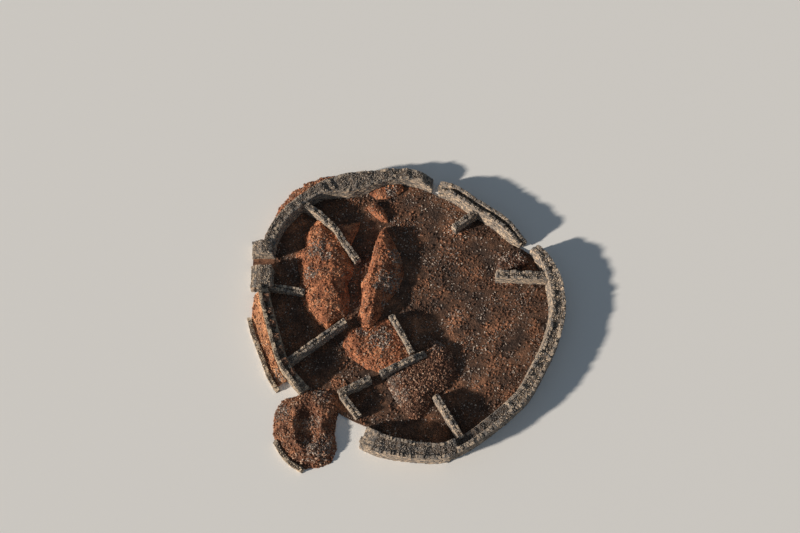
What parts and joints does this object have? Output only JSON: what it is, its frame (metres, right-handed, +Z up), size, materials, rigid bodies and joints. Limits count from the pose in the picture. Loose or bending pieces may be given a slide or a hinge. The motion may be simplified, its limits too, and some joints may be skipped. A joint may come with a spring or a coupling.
{
  "type": "round dry-stone enclosure ruin",
  "caption": "Large roofless round enclosure of thick dry-stone walls, broken at its gateways, with straight inner walls, courts and mounds of fallen stone and earth.",
  "frame": {"origin": "on the ground in the middle of the ring wall", "axes": "+Z up; +X east, away from the west gate; +Y north, towards the top of the picture"},
  "size_m": [35.6893, 35.0406, 2.65],
  "materials": {
    "dry_stone": "rough, weathered",
    "fallen_stone": "rough, earthy",
    "packed_earth": "matt, dusty"
  },
  "bodies": {
    "root": {"west_gate_north_pier": "dry_stone", "west_gate_south_pier": "dry_stone", "west_gate_sill": "packed_earth", "northwest_wall": "dry_stone", "north_wall_west": "dry_stone", "north_wall_east": "dry_stone", "northeast_wall_north": "dry_stone", "northeast_wall_south": "dry_stone", "east_wall_north": "dry_stone", "east_wall_middle": "dry_stone", "east_wall_south": "dry_stone", "southeast_walk": "dry_stone", "southeast_parapet": "dry_stone", "south_wall_east": "dry_stone", "south_wall_west": "dry_stone", "southwest_wall_south": "dry_stone", "southwest_wall_north": "dry_stone", "southwest_crest_blocks": "dry_stone", "northwest_talus": "fallen_stone", "west_bank": "packed_earth", "west_kerb": "dry_stone", "southwest_kerb": "dry_stone", "breach_rubble": "fallen_stone", "northwest_partition": "dry_stone", "west_cross_wall": "dry_stone", "southwest_partition": "dry_stone", "cross_wall_west": "dry_stone", "cross_wall_east": "dry_stone", "gate_screen_wall": "dry_stone", "central_partition": "dry_stone", "south_partition": "dry_stone", "east_partition": "dry_stone", "northeast_partition": "dry_stone", "west_mound": "packed_earth", "west_mound_spur": "packed_earth", "middle_ridge": "packed_earth", "earth_platform": "packed_earth", "south_mound": "fallen_stone", "north_heaps": "packed_earth", "east_heap": "fallen_stone", "floor_east": "packed_earth", "floor_north": "packed_earth", "floor_west": "packed_earth", "floor_south": "packed_earth"}
  },
  "joints": []
}
